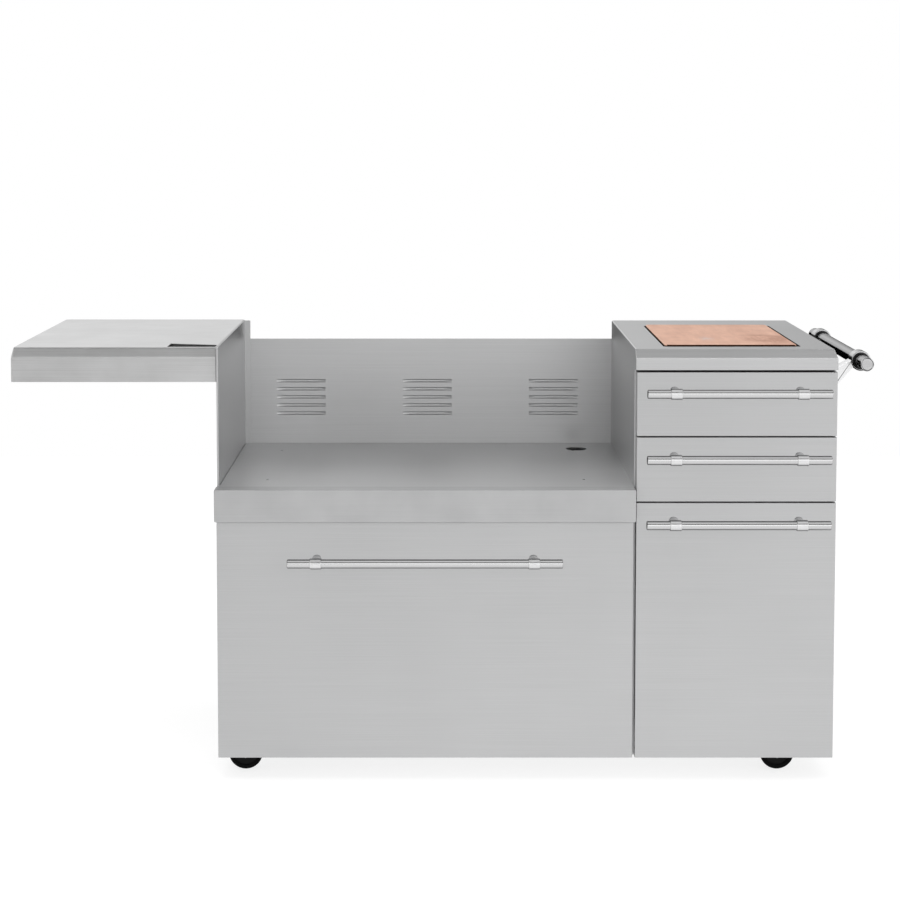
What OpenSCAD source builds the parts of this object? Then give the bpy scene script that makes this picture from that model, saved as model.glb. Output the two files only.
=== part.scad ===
// Stainless steel grill cart with an open bay for a built-in grill head.
// Front faces -Y, +X is the right-hand side seen from the front, Z is up from the floor.

/* [Cabinet] */
// Height of the counter and shelf tops above the floor
counter_z = 945; // [927:1:957]
// Depth from the drawer faces to the back panel
body_d = 636; // [620:1:680]
// Width of the large front below the grill bay
bay_w = 901; // [860:1:940]
// Width of the drawer fronts beside the bay
side_w = 431; // [420:1:460]
// Height of the lower edge of the fronts above the floor
skirt_z = 51; // [47:1:55]
// Thickness of the panel sheet
sheet = 2; // [1.5:0.1:2.5]

/* [Tops] */
// Width of the left side shelf
shelf_w = 445; // [400:1:500]
// Front to back length of the side shelf
shelf_d = 632; // [600:1:640]
// How far the side shelf stands back from the drawer faces
shelf_back = 30; // [20:1:40]
// Depth of the side shelf's apron, with its sloped edge
shelf_h = 75; // [70:1:80]
// Depth of the counter's edge, with its sloped edge
counter_h = 45; // [42:1:50]
// Height of the sloped edge on both tops
slope_h = 20; // [15:1:22]

/* [Cutting board] */
// Width of the board
board_w = 287; // [260:1:290]
// Front to back length of the board
board_l = 443; // [400:1:450]
// Thickness of the board
board_t = 19; // [18:1:22]
// How far the board stands proud of the counter
board_up = 3.5; // [1:0.5:4]

/* [Handles] */
// Diameter of the bar handles
bar_d = 19; // [16:0.5:20]
// Distance of the bar's centre from the front
bar_off = 45; // [42:1:50]
// Length of the bar on the drawers
bar_len = 394; // [360:1:400]
// Length of the bar on the large front
wide_bar_len = 590; // [520:1:640]
// Diameter of the push handle tube
push_d = 30; // [28:0.5:34]
// Length of the push handle tube
push_len = 634; // [600:1:650]
// Distance of the push handle's centre from the cabinet side
push_off = 71; // [70:1:80]

/* [Casters] */
// Diameter of the caster wheels
wheel_d = 75; // [70:1:76]
// Distance of the wheel's axle behind the swivel axis
trail = 28; // [24:1:30]

/* [Hidden] */
$fn = 64;

steel = [0.74, 0.74, 0.74];
bright = [0.82, 0.82, 0.82];
dark_steel = [0.5, 0.5, 0.51];
black = [0.06, 0.06, 0.06];
wood = [0.85, 0.69, 0.61];

// Hair gap kept between pieces that lie against each other without being joined
hair = 0.1;
// Gap between the large front and the drawer fronts, and between drawer fronts
mid_gap = 5;
front_gap = 2;
front_t = 20;
skin = 1.5;

// Places across the cart
collar_r = 11.5;
push_head_r = 22;
counter_over = 4;
cab_w = bay_w + mid_gap + side_w;
total_w = shelf_w + cab_w + push_off + push_head_r;
x_left = -total_w / 2 + shelf_w;
x_bay = x_left + bay_w;
x_fronts = x_bay + mid_gap;
x_right = x_fronts + side_w;
x_divider = x_bay + 1.5;

// Places from front to back
handle_reach = bar_off + collar_r;
push_front = 40;
y_face = -(handle_reach + push_front + push_len) / 2 + handle_reach;
y_case = y_face + front_t + 1;
y_back = y_face + body_d;

// Heights
frame_z = 104;
frame_h = 25;
floor_z = frame_z + frame_h;
floor_top = floor_z + sheet;
band_z = 572.5;
band_top = 643.5;
band_proud = 20;
deck_z = band_top - 2 * sheet;
counter_under = counter_z - counter_h;
plate = 3;
push_z = counter_z - 38;

// Fronts, from the top down: lower edge and height of each
top_front_h = 138;
top_front_z = counter_under - 5 - top_front_h;
middle_front_h = 140.5;
middle_front_z = top_front_z - front_gap - middle_front_h;
deep_front_h = middle_front_z - front_gap - skirt_z;
tank_front_h = band_z - 3.5 - skirt_z;
bar_drop = 41.5;
tank_bar_z = 488;
post_gap = 270;
wide_post_gap = 468;

// Telescopic slides
slide_h = 45;
slide_w = 13;
slide_len = 540;
slide_in = 14;
box_len = 545;
box_wall = 1.5;
box_in = slide_w + 0.2;
x_right_inner = x_right - sheet;
x_div_right = x_divider + sheet;
top_slide_z = top_front_z + 47;
middle_slide_z = middle_front_z + 49.5;
deep_slide_z = 312;
tank_slide_z = 202;

// Casters
wheel_r = wheel_d / 2;
caster_side = 80;
caster_front = 92;
plate_x = 64;
plate_y = 90;
plate_t = 3;
bolt_x = 46;
bolt_y = 74;
bolt_hole_r = 4.3;
cup_r = 24;
cup_h = 8;
pin_r = 6;
run_gap = 0.05;
body_gap = 0.3;
tread_w = 24;
hub_r = 28;
axle_r = 4;
x_casters = [x_left + caster_side, x_right - caster_side];
y_casters = [y_face + caster_front, y_back - caster_front];
cup_z = frame_z - plate_t - cup_h;
crown_t = 5;
crown_z = cup_z - body_gap - crown_t;

// A box from its low corner to its high corner
module slab(low, high) {
  translate(low) cube(high - low);
}

// A flat plate with rounded corners, from its low corner to its high corner
module round_slab(low, high, r) {
  h = high[2] - low[2];
  slab([low[0] + r, low[1], low[2]], [high[0] - r, high[1], high[2]]);
  slab([low[0], low[1] + r, low[2]], [high[0], high[1] - r, high[2]]);
  for (x = [low[0] + r, high[0] - r])
    for (y = [low[1] + r, high[1] - r])
      translate([x, y, low[2]]) cylinder(r = r, h = h);
}

// A bar along X, Y or Z starting at a point
module bar_x(at, r, len) {
  translate(at) rotate([0, 90, 0]) cylinder(r = r, h = len);
}
module bar_y(at, r, len) {
  translate(at) rotate([-90, 0, 0]) cylinder(r = r, h = len);
}
module bar_z(at, r, len) {
  translate(at) cylinder(r = r, h = len);
}

// A flat shape drawn in X and Z, stretched along Y
module along_y(y0, y1) {
  translate([0, y1, 0]) rotate([90, 0, 0]) linear_extrude(y1 - y0) children();
}
// A flat shape drawn in Y and Z, stretched along X
module along_x(x0, x1) {
  translate([x0, 0, 0]) rotate([90, 0, 90]) linear_extrude(x1 - x0) children();
}

// Block with a sloped upper edge along its front, and along its left or right end
module sloped_block(low, high, drop, run, end_run, left_end) {
  cut_l = left_end ? end_run : 0;
  cut_r = left_end ? 0 : end_run;
  drop_l = left_end ? drop : 0;
  drop_r = left_end ? 0 : drop;
  intersection() {
    along_y(low[1], high[1]) polygon([
      [low[0], low[2]], [high[0], low[2]], [high[0], high[2] - drop_r],
      [high[0] - cut_r, high[2]], [low[0] + cut_l, high[2]], [low[0], high[2] - drop_l]
    ]);
    along_x(low[0], high[0]) polygon([
      [low[1], low[2]], [high[1], low[2]], [high[1], high[2]],
      [low[1] + run, high[2]], [low[1], high[2] - drop]
    ]);
  }
}

// Depth of the hem along each upright sheet's front edge, and width of the return at its back.
// The frame is made of channels open at the top: front, back and middle rails, and a wide one
// over each pair of casters
hem_d = 12;
return_w = 16;
rail_wall = 3;
rail_w = 30;
wide_rail = 76;
frame_x0 = x_left + sheet + hair;
frame_x1 = x_right - sheet - hair;
frame_y0 = y_case + hem_d + hair;
frame_y1 = y_back - 2 * sheet - hair;
frame_rails = [
  [frame_x0, frame_x1, frame_y0, frame_y0 + rail_w],
  [frame_x0, frame_x1, frame_y1 - rail_w, frame_y1],
  [x_divider - rail_w / 2, x_divider + rail_w / 2, frame_y0, frame_y1],
  [x_casters[0] - wide_rail / 2, x_casters[0] + wide_rail / 2, frame_y0, frame_y1],
  [x_casters[1] - wide_rail / 2, x_casters[1] + wide_rail / 2, frame_y0, frame_y1]
];

module base_frame() {
  color(steel) difference() {
    for (r = frame_rails)
      slab([r[0], r[2], frame_z], [r[1], r[3], floor_z]);
    for (r = frame_rails)
      slab([r[0] + rail_wall, r[2] + rail_wall, frame_z + rail_wall],
           [r[1] - rail_wall, r[3] - rail_wall, floor_z + 1]);
    at_caster_bolts() cylinder(r = bolt_hole_r, h = 2 * rail_wall + 2, center = true);
  }
}

// Repeats its child at each caster bolt, level with the underside of the frame
module at_caster_bolts() {
  for (x = x_casters)
    for (y = y_casters)
      for (i = [-1, 1])
        for (j = [-1, 1])
          translate([x + i * bolt_x / 2, y + j * bolt_y / 2, frame_z]) children();
}

module floor_panel() {
  color(steel)
    slab([frame_x0, frame_y0, floor_z], [frame_x1, frame_y1, floor_top]);
}

// Upright sheet with a doubled hem along its front edge and a return along its back edge
module side_sheet(x, inward, z0, z1) {
  x_in = x + inward * sheet;
  x_hem = x + inward * 2 * sheet;
  x_ret = x + inward * return_w;
  slab([min(x, x_in), y_case, z0], [max(x, x_in), y_back - sheet, z1]);
  slab([min(x, x_hem), y_case, z0], [max(x, x_hem), y_case + hem_d, z1]);
  slab([min(x, x_ret), y_back - 2 * sheet, z0], [max(x, x_ret), y_back - sheet, z1]);
}

module left_side_panel() {
  color(steel) side_sheet(x_left, 1, skirt_z, counter_z);
}

// The divider stands on the floor panel, and its hem runs on down between the fronts
module divider_panel() {
  color(steel) {
    side_sheet(x_divider, 1, floor_top, counter_under);
    slab([x_divider, y_case, skirt_z], [x_divider + 2 * sheet, y_case + hem_d, floor_top + sheet]);
  }
}

module right_side_panel() {
  color(steel) side_sheet(x_right, -1, skirt_z, counter_under);
}

// Back sheet with vent slots low and high, and a hole for the gas hose
hose_r = 20;
hose_x = x_bay - 90;
hose_z = 352;
slot_w = 120;
slot_h = 8;
slot_count = 5;
vent_x = [for (d = [80, 390, 700]) x_left + d];
vent_z = [162, 512, 712];
module vent_slots(x0, z0) {
  for (i = [0 : slot_count - 1])
    slab([x0, y_back - 2 * sheet, z0 + i * 2.5 * slot_h],
         [x0 + slot_w, y_back + 1, z0 + i * 2.5 * slot_h + slot_h]);
}

module back_panel() {
  color(steel) difference() {
    slab([x_left, y_back - sheet, skirt_z], [x_right, y_back, counter_under]);
    for (x = vent_x)
      for (z = vent_z)
        vent_slots(x, z);
    bar_y([hose_x, y_back - 2 * sheet, hose_z], hose_r, 3 * sheet);
    for (p = screw_places)
      bar_y([p[0], y_back - 2 * sheet, p[1]], screw_r + hair, 3 * sheet);
  }
}

// Pan-head screws round the back panel
screw_r = 2.5;
screw_head_r = 5;
screw_in = 8;
screw_z = [172, 352, 532, 712, 872];
screw_places = [
  for (x = [x_left + screw_in, x_divider + screw_in, x_right - screw_in])
    for (z = screw_z)
      [x, z]
];
module panel_screws() {
  color(bright)
    for (p = screw_places)
      translate([p[0], y_back, p[1]]) rotate([-90, 0, 0]) {
        cylinder(r = screw_head_r, h = 2);
        translate([0, 0, 2]) cylinder(r1 = screw_head_r, r2 = screw_head_r / 2, h = 1);
        translate([0, 0, -sheet]) cylinder(r = screw_r, h = sheet);
      }
}

// Two angles on the bay's walls that carry the deck
angle_w = 30;
module deck_rails() {
  x0 = x_left + sheet + hair;
  x1 = x_divider - hair;
  y0 = y_case + hem_d + 2;
  y1 = y_back - 3 * sheet;
  color(steel) {
    slab([x0, y0, deck_z - angle_w], [x0 + sheet, y1, deck_z]);
    slab([x0, y0, deck_z - sheet], [x0 + angle_w, y1, deck_z]);
    slab([x1 - sheet, y0, deck_z - angle_w], [x1, y1, deck_z]);
    slab([x1 - angle_w, y0, deck_z - sheet], [x1, y1, deck_z]);
  }
}

// Deck that the grill head stands on, with its fixing holes and the gas hose hole
fix_x = 700;
fix_y = 400;
fix_r = 3.5;
x_mid_bay = x_left + bay_w / 2;
y_mid_deck = y_face + 320;
deck_hose_r = 25;
deck_hose_y = y_back - 90;
module grill_deck() {
  color(steel) difference() {
    slab([x_left + 2 * sheet + hair, y_case + hair, deck_z],
         [x_divider - hair, y_back - 2 * sheet - hair, deck_z + sheet]);
    for (i = [-1, 1])
      for (j = [-1, 1])
        bar_z([x_mid_bay + i * fix_x / 2, y_mid_deck + j * fix_y / 2, deck_z - 1], fix_r, 2 * sheet);
    bar_z([hose_x, deck_hose_y, deck_z - 1], deck_hose_r, 2 * sheet);
  }
}

// Band below the bay: a pan open at the back, with a lip that turns in under the deck's front edge
band_over = 3;
band_flange = 13;
module trim_band() {
  x0 = x_left - band_over;
  x1 = x_bay + band_over;
  y0 = y_face - band_proud;
  x_lip0 = x_left + 2 * sheet + hair;
  x_lip1 = x_divider - hair;
  color(steel) {
    difference() {
      slab([x0, y0, band_z], [x1, y_case, band_top]);
      slab([x0 + sheet, y0 + sheet, band_z + sheet], [x1 - sheet, y_case + 1, band_top - sheet]);
    }
    slab([x_lip0, y_case - sheet, deck_z - sheet], [x_lip1, y_case, band_top - sheet]);
    slab([x_lip0, y_case - sheet, deck_z - sheet], [x_lip1, y_case + band_flange, deck_z]);
  }
}

// Left side shelf: folded plate with a sloped edge at the front and the outer end
shelf_run = 13;
shelf_end_run = 9;
shelf_drop = slope_h + 2;
x_shelf = x_left - shelf_w;
y_shelf = y_face + shelf_back;
shelf_z = counter_z - shelf_h;
notch_w = 104;
notch_deep = 60;
notch_shallow = 33;
x_notch = x_left - 5 - notch_w;
y_notch = y_shelf + shelf_run + 1;
module side_shelf() {
  low = [x_shelf, y_shelf, shelf_z];
  high = [x_left, y_shelf + shelf_d, counter_z];
  color(steel) {
    difference() {
      sloped_block(low, high, shelf_drop, shelf_run, shelf_end_run, true);
      sloped_block(low + [plate, plate, -plate], high + [1, -plate, -plate],
                   shelf_drop, shelf_run, shelf_end_run, true);
      translate([0, 0, shelf_z + shelf_h / 2]) linear_extrude(shelf_h) polygon([
        [x_notch, y_notch], [x_notch + notch_w, y_notch],
        [x_notch + notch_w, y_notch + notch_shallow], [x_notch, y_notch + notch_deep]
      ]);
    }
  }
}

// Two channels inside the shelf, fixed to the left side panel
arm_w = 40;
arm_h = 50;
arm_len = 390;
arm_in = 110;
module shelf_arms() {
  z1 = counter_z - plate - hair;
  color(steel)
    for (y = [y_shelf + arm_in, y_shelf + shelf_d - arm_in - arm_w])
      difference() {
        slab([x_left - hair - arm_len, y, z1 - arm_h], [x_left - hair, y + arm_w, z1]);
        slab([x_left - arm_len - 1, y + sheet, z1 - arm_h - 1], [x_left + 1, y + arm_w - sheet, z1 - sheet]);
      }
}

// Flat pan that closes the shelf from below
underpan_h = 12;
module shelf_underpan() {
  x0 = x_shelf + plate + hair;
  y0 = y_shelf + plate + hair;
  y1 = y_shelf + shelf_d - plate - hair;
  z0 = shelf_z + 1;
  z1 = z0 + underpan_h;
  color(steel) difference() {
    slab([x0, y0, z0], [x_left - hair, y1, z1]);
    slab([x0 + sheet, y0 + sheet, z0 + sheet], [x_left - hair - sheet, y1 - sheet, z1 + 1]);
  }
}

// Right counter: folded plate with a sloped edge at the front and the right end
counter_run = 8;
y_counter = y_face - 3;
board_right = 79;
board_front = 53.5;
board_gap = 5;
board_r = 6;
x_board = x_right - board_right - board_w;
y_board = y_face + board_front;
module counter_top() {
  low = [x_divider, y_counter, counter_under];
  high = [x_right + counter_over, y_back, counter_z];
  color(steel) difference() {
    sloped_block(low, high, slope_h, counter_run, counter_run, false);
    sloped_block(low + [plate, plate, -plate], high - [plate, plate, plate],
                 slope_h, counter_run, counter_run, false);
    round_slab([x_board - board_gap, y_board - board_gap, counter_z - 2 * plate],
               [x_board + board_w + board_gap, y_board + board_l + board_gap, counter_z + 1],
               board_r + board_gap);
  }
}

// Tray below the opening that holds the board
board_z = counter_z + board_up - board_t;
tray_lip = 12;
module board_tray() {
  g = board_gap;
  x0 = x_board - g;
  y0 = y_board - g;
  x1 = x_board + board_w + g;
  y1 = y_board + board_l + g;
  z1 = counter_z - plate - hair;
  z0 = board_z - sheet;
  color(dark_steel) difference() {
    union() {
      round_slab([x0 - sheet, y0 - sheet, z0], [x1 + sheet, y1 + sheet, z1], board_r + g + sheet);
      slab([x0 - tray_lip, y0 - tray_lip, z1 - sheet], [x1 + tray_lip, y1 + tray_lip, z1]);
    }
    round_slab([x0, y0, board_z], [x1, y1, z1 + 1], board_r + g);
  }
}

module cutting_board() {
  color(wood)
    round_slab([x_board, y_board, board_z], [x_board + board_w, y_board + board_l, board_z + board_t],
               board_r);
}

// Push handle on the right side, with welded ends and a small vent hole underneath
x_push = x_right + push_off;
y_push = y_face + push_front;
head_in = 66;
head_len = 37;
push_cap = 3;
drain_r = 2;
module push_handle_tube() {
  wall = 1.6;
  color(bright) difference() {
    bar_y([x_push, y_push, push_z], push_d / 2, push_len);
    bar_y([x_push, y_push + push_cap, push_z], push_d / 2 - wall, push_len - 2 * push_cap);
    bar_z([x_push, y_push + push_len - 4 * push_cap, push_z - push_d], drain_r, push_d);
  }
}

// Bracket arms: a wedge from the cabinet side up to a ring round the tube
arm_low = push_z - 75;
arm_top = push_z - 24;
arm_to_head = 16.5;
module push_handle_brackets() {
  color(bright)
    for (y = [y_push + head_in, y_push + push_len - head_in - head_len])
      difference() {
        union() {
          bar_y([x_push, y, push_z], push_head_r, head_len);
          along_y(y + 1, y + head_len - 1) polygon([
            [x_right, arm_low], [x_push - arm_to_head, push_z - 13.5],
            [x_push - arm_to_head - 2.5, push_z + 3], [x_right, arm_top]
          ]);
        }
        bar_y([x_push, y - 1, push_z], push_d / 2 + run_gap, head_len + 2);
      }
}

// Top plate, bearing cup and kingpin of each caster
module caster_plates() {
  color(bright)
    for (x = x_casters)
      for (y = y_casters)
        difference() {
          union() {
            slab([x - plate_x / 2, y - plate_y / 2, frame_z - plate_t],
                 [x + plate_x / 2, y + plate_y / 2, frame_z]);
            bar_z([x, y, cup_z], cup_r, cup_h);
            bar_z([x, y, crown_z - body_gap], pin_r, cup_h + 2 * body_gap + crown_t);
            bar_z([x, y, crown_z - body_gap - 4], 1.5 * pin_r, 4);
          }
          for (i = [-1, 1])
            for (j = [-1, 1])
              bar_z([x + i * bolt_x / 2, y + j * bolt_y / 2, frame_z - plate_t - 1],
                    bolt_hole_r, plate_t + 2);
        }
}

// Hexagon bolts through the caster plates and the frame
bolt_r = 4;
hex_r = 7.5;
module caster_bolts() {
  color(bright) at_caster_bolts() {
    translate([0, 0, -plate_t - 5]) cylinder(r = hex_r, h = 5, $fn = 6);
    translate([0, 0, -plate_t]) cylinder(r = bolt_r, h = plate_t + rail_wall + 8);
    translate([0, 0, rail_wall]) cylinder(r = hex_r, h = 6, $fn = 6);
  }
}

// Fork, wheel, tyre and brake of a caster whose swivel axis stands at a given place
pedal_pin_x = 26;
pedal_pin_z = 80;
pedal_pin_r = 1.5;
leg_in = tread_w / 2 + 2;
leg_t = 3;
module fork(x, y) {
  color(bright) {
    difference() {
      union() {
        bar_z([x, y, crown_z], cup_r + 1, crown_t);
        for (side = [-1, 1]) {
          y0 = y + side * (leg_in + leg_t / 2) - leg_t / 2;
          along_y(y0, y0 + leg_t) polygon([
            [x + 20, crown_z + 1], [x + 12, 58], [x - trail + 9, wheel_r - 8], [x - trail, wheel_r - 11],
            [x - trail - 9, wheel_r - 8], [x - trail - 11, wheel_r + 2], [x - trail - 7, crown_z - 2],
            [x - 20, crown_z + 1]
          ]);
        }
        bar_y([x - pedal_pin_x, y - leg_in - leg_t, pedal_pin_z], pedal_pin_r, 2 * (leg_in + leg_t));
        bar_y([x - trail, y - leg_in - leg_t - 5, wheel_r], 6.5, 5);
        bar_y([x - trail, y + leg_in + leg_t, wheel_r], 6.5, 5);
        bar_y([x - trail, y - leg_in - leg_t, wheel_r], axle_r, 2 * (leg_in + leg_t));
      }
      bar_z([x, y, crown_z - 1], pin_r + run_gap, crown_t + 2);
    }
  }
}

module wheel(x, y) {
  color(black) difference() {
    union() {
      bar_y([x - trail, y - tread_w / 2 + 3, wheel_r], hub_r, tread_w - 6);
      bar_y([x - trail, y - tread_w / 2 - 1, wheel_r], 10, tread_w + 2);
    }
    bar_y([x - trail, y - tread_w, wheel_r], axle_r + run_gap, 2 * tread_w);
  }
}

module tyre(x, y) {
  round_r = 4;
  translate([x - trail, y, wheel_r]) rotate([90, 0, 0]) color(black) rotate_extrude($fn = 96) {
    translate([hub_r, -tread_w / 2]) square([wheel_r - hub_r - round_r, tread_w]);
    translate([hub_r, -tread_w / 2 + round_r]) square([wheel_r - hub_r, tread_w - 2 * round_r]);
    for (side = [-1, 1])
      translate([wheel_r - round_r, side * (tread_w / 2 - round_r)]) circle(r = round_r);
  }
}

// Pedal above the wheel with a pad under it, turning on the pin between the fork's legs
pedal_w = 2 * (leg_in - 1);
pedal_t = 5;
module brake(x, y) {
  x_pin = x - pedal_pin_x;
  z0 = pedal_pin_z - pedal_t / 2;
  z1 = pedal_pin_z + pedal_t / 2;
  color(black) difference() {
    along_y(y - pedal_w / 2, y + pedal_w / 2) polygon([
      [x_pin + 3, z0], [x_pin + 3, z1], [x_pin - 32, z1], [x_pin - 36, z1 + 2], [x_pin - 37, z1],
      [x_pin - 34, z0], [x_pin - 14, z0], [x_pin - 13, z0 - 1.5], [x_pin - 8, z0 - 1.5], [x_pin - 7, z0]
    ]);
    bar_y([x_pin, y - pedal_w, pedal_pin_z], pedal_pin_r + run_gap, 2 * pedal_w);
  }
}

module front_left_fork() { fork(x_casters[0], y_casters[0]); }
module front_left_wheel() { wheel(x_casters[0], y_casters[0]); }
module front_left_tyre() { tyre(x_casters[0], y_casters[0]); }
module front_left_brake() { brake(x_casters[0], y_casters[0]); }
module front_right_fork() { fork(x_casters[1], y_casters[0]); }
module front_right_wheel() { wheel(x_casters[1], y_casters[0]); }
module front_right_tyre() { tyre(x_casters[1], y_casters[0]); }
module front_right_brake() { brake(x_casters[1], y_casters[0]); }
module rear_left_fork() { fork(x_casters[0], y_casters[1]); }
module rear_left_wheel() { wheel(x_casters[0], y_casters[1]); }
module rear_left_tyre() { tyre(x_casters[0], y_casters[1]); }
module rear_right_fork() { fork(x_casters[1], y_casters[1]); }
module rear_right_wheel() { wheel(x_casters[1], y_casters[1]); }
module rear_right_tyre() { tyre(x_casters[1], y_casters[1]); }

// Slide members. Each is a channel: the outer and middle ones open away from the cabinet wall,
// and the runner on the drawer opens back towards it. dir is +1 where the wall is on the left.
slide_t = 1.5;
channel_d = 12;
middle_in = 2.5;
middle_h = 39;
middle_d = 8;
runner_in = 5.2;
runner_h = 33;
slide_y = y_case + slide_in;

// A channel drawn in X and Z, w deep and h tall, with its web at x
module channel(x, dir, w, h, z, y0, y1) {
  x_web = x + dir * slide_t;
  x_tip = x + dir * w;
  for (s = [-1, 1]) {
    z_lip = z + s * (h / 2 - slide_t / 2);
    slab([min(x, x_tip), y0, z_lip - slide_t / 2], [max(x, x_tip), y1, z_lip + slide_t / 2]);
  }
  slab([min(x, x_web), y0, z - h / 2], [max(x, x_web), y1, z + h / 2]);
}

module fixed_channel(x, dir, z) {
  channel(x + dir * hair, dir, channel_d, slide_h, z, slide_y, slide_y + slide_len);
}

module middle_member(x, dir, z) {
  channel(x + dir * middle_in, dir, middle_d, middle_h, z, slide_y + 1, slide_y + slide_len - 10);
}

module runner(x, dir, z) {
  channel(x + dir * (slide_w - hair), -dir, slide_w - hair - runner_in, runner_h, z,
          y_face + front_t + hair, slide_y + slide_len - 20);
}

module slide_channels() {
  color(dark_steel) {
    for (z = [top_slide_z, middle_slide_z, deep_slide_z]) {
      fixed_channel(x_div_right, 1, z);
      fixed_channel(x_right_inner, -1, z);
    }
    fixed_channel(x_left + sheet, 1, tank_slide_z);
    fixed_channel(x_divider, -1, tank_slide_z);
  }
}

module middles_pair(x0, x1, z) {
  color(dark_steel) {
    middle_member(x0, 1, z);
    middle_member(x1, -1, z);
  }
}

module runner_pair(x0, x1, z) {
  color(dark_steel) {
    runner(x0, 1, z);
    runner(x1, -1, z);
  }
}

module top_slide_middles() { middles_pair(x_div_right, x_right_inner, top_slide_z); }
module middle_slide_middles() { middles_pair(x_div_right, x_right_inner, middle_slide_z); }
module deep_slide_middles() { middles_pair(x_div_right, x_right_inner, deep_slide_z); }
module tank_slide_middles() { middles_pair(x_left + sheet, x_divider, tank_slide_z); }
module top_drawer_runners() { runner_pair(x_div_right, x_right_inner, top_slide_z); }
module middle_drawer_runners() { runner_pair(x_div_right, x_right_inner, middle_slide_z); }
module deep_drawer_runners() { runner_pair(x_div_right, x_right_inner, deep_slide_z); }
module tank_drawer_runners() { runner_pair(x_left + sheet, x_divider, tank_slide_z); }

// Double-skinned front, open along its lower edge
module front_panel(x0, w, z0, h) {
  color(steel) difference() {
    slab([x0, y_face, z0], [x0 + w, y_face + front_t, z0 + h]);
    slab([x0 + skin, y_face + skin, z0 - 1], [x0 + w - skin, y_face + front_t - skin, z0 + h - skin]);
  }
}

// Open-topped box of sheet behind a front, and its height on the two shallow drawers
box_h = 95;
top_box_z = top_front_z + 17;
middle_box_z = middle_front_z + 19.5;
deep_box_z = 162;
deep_box_h = 380;
module open_box(x0, x1, y0, y1, z0, z1) {
  color(steel) difference() {
    slab([x0, y0, z0], [x1, y1, z1]);
    slab([x0 + box_wall, y0 + box_wall, z0 + box_wall], [x1 - box_wall, y1 - box_wall, z1 + 1]);
  }
}

module drawer_box(z0, z1) {
  open_box(x_div_right + box_in, x_right_inner - box_in,
           y_face + front_t, y_face + front_t + box_len, z0, z1);
}

// Round bar with eased ends, centred across a front
module bar_handle(x_mid, len, z) {
  r = bar_d / 2;
  ease = 2;
  color(bright) translate([x_mid - len / 2, y_face - bar_off, z]) rotate([0, 90, 0]) rotate_extrude()
    polygon([[0, 0], [r - ease, 0], [r, ease], [r, len - ease], [r - ease, len], [0, len]]);
}

// Two posts: a collar round the bar, a stem and a foot on the front
collar_len = 24;
stem_r = 9.3;
foot_r = 10.5;
foot_t = 1.5;
module handle_posts(x_mid, gap, z) {
  color(bright)
    for (side = [-1, 1]) {
      x = x_mid + side * gap / 2;
      difference() {
        union() {
          bar_x([x - collar_len / 2, y_face - bar_off, z], collar_r, collar_len);
          bar_y([x, y_face - bar_off, z], stem_r, bar_off);
          bar_y([x, y_face - foot_t, z], foot_r, foot_t);
        }
        bar_x([x - collar_len, y_face - bar_off, z], bar_d / 2 + run_gap, 2 * collar_len);
      }
    }
}

x_mid_side = x_fronts + side_w / 2;
top_bar_z = top_front_z + top_front_h - bar_drop;
middle_bar_z = middle_front_z + middle_front_h - bar_drop - 2;
deep_bar_z = skirt_z + deep_front_h - bar_drop;

module top_drawer_front() { front_panel(x_fronts, side_w, top_front_z, top_front_h); }
module top_drawer_box() { drawer_box(top_box_z, top_box_z + box_h); }
module top_drawer_bar() { bar_handle(x_mid_side, bar_len, top_bar_z); }
module top_drawer_posts() { handle_posts(x_mid_side, post_gap, top_bar_z); }
module middle_drawer_front() { front_panel(x_fronts, side_w, middle_front_z, middle_front_h); }
module middle_drawer_box() { drawer_box(middle_box_z, middle_box_z + box_h); }
module middle_drawer_bar() { bar_handle(x_mid_side, bar_len, middle_bar_z); }
module middle_drawer_posts() { handle_posts(x_mid_side, post_gap, middle_bar_z); }
module deep_drawer_front() { front_panel(x_fronts, side_w, skirt_z, deep_front_h); }
module deep_drawer_box() { drawer_box(deep_box_z, deep_box_z + deep_box_h); }
module deep_drawer_bar() { bar_handle(x_mid_side, bar_len, deep_bar_z); }
module deep_drawer_posts() { handle_posts(x_mid_side, post_gap, deep_bar_z); }
module tank_drawer_front() { front_panel(x_left, bay_w, skirt_z, tank_front_h); }
module tank_drawer_bar() { bar_handle(x_mid_bay, wide_bar_len, tank_bar_z); }
module tank_drawer_posts() { handle_posts(x_mid_bay, wide_post_gap, tank_bar_z); }

// Tray on the large front's slides, and the hoop in it that steadies a gas cylinder
tray_z = 152;
tray_top = 272;
hoop_r = 163;
hoop_h = 60;
x_hoop = x_left + bay_w - 240;
y_hoop = y_face + 290;
module tank_tray() {
  open_box(x_left + sheet + box_in, x_divider - box_in, y_face + front_t,
           y_face + front_t + box_len, tray_z, tray_top);
}

module tank_hoop() {
  color(bright) difference() {
    bar_z([x_hoop, y_hoop, tray_z + box_wall], hoop_r + 3, hoop_h);
    bar_z([x_hoop, y_hoop, tray_z], hoop_r, hoop_h + 2 * box_wall);
  }
}

base_frame();
floor_panel();
left_side_panel();
divider_panel();
right_side_panel();
back_panel();
deck_rails();
grill_deck();
trim_band();
side_shelf();
shelf_arms();
shelf_underpan();
counter_top();
board_tray();
cutting_board();
push_handle_tube();
push_handle_brackets();
caster_plates();
caster_bolts();
panel_screws();
slide_channels();
top_drawer_front();
top_drawer_box();
top_drawer_runners();
top_drawer_bar();
top_drawer_posts();
middle_drawer_front();
middle_drawer_box();
middle_drawer_runners();
middle_drawer_bar();
middle_drawer_posts();
deep_drawer_front();
deep_drawer_box();
deep_drawer_runners();
deep_drawer_bar();
deep_drawer_posts();
tank_drawer_front();
tank_tray();
tank_hoop();
tank_drawer_runners();
tank_drawer_bar();
tank_drawer_posts();
top_slide_middles();
middle_slide_middles();
deep_slide_middles();
tank_slide_middles();
front_left_fork();
front_left_wheel();
front_left_tyre();
front_left_brake();
front_right_fork();
front_right_wheel();
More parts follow.
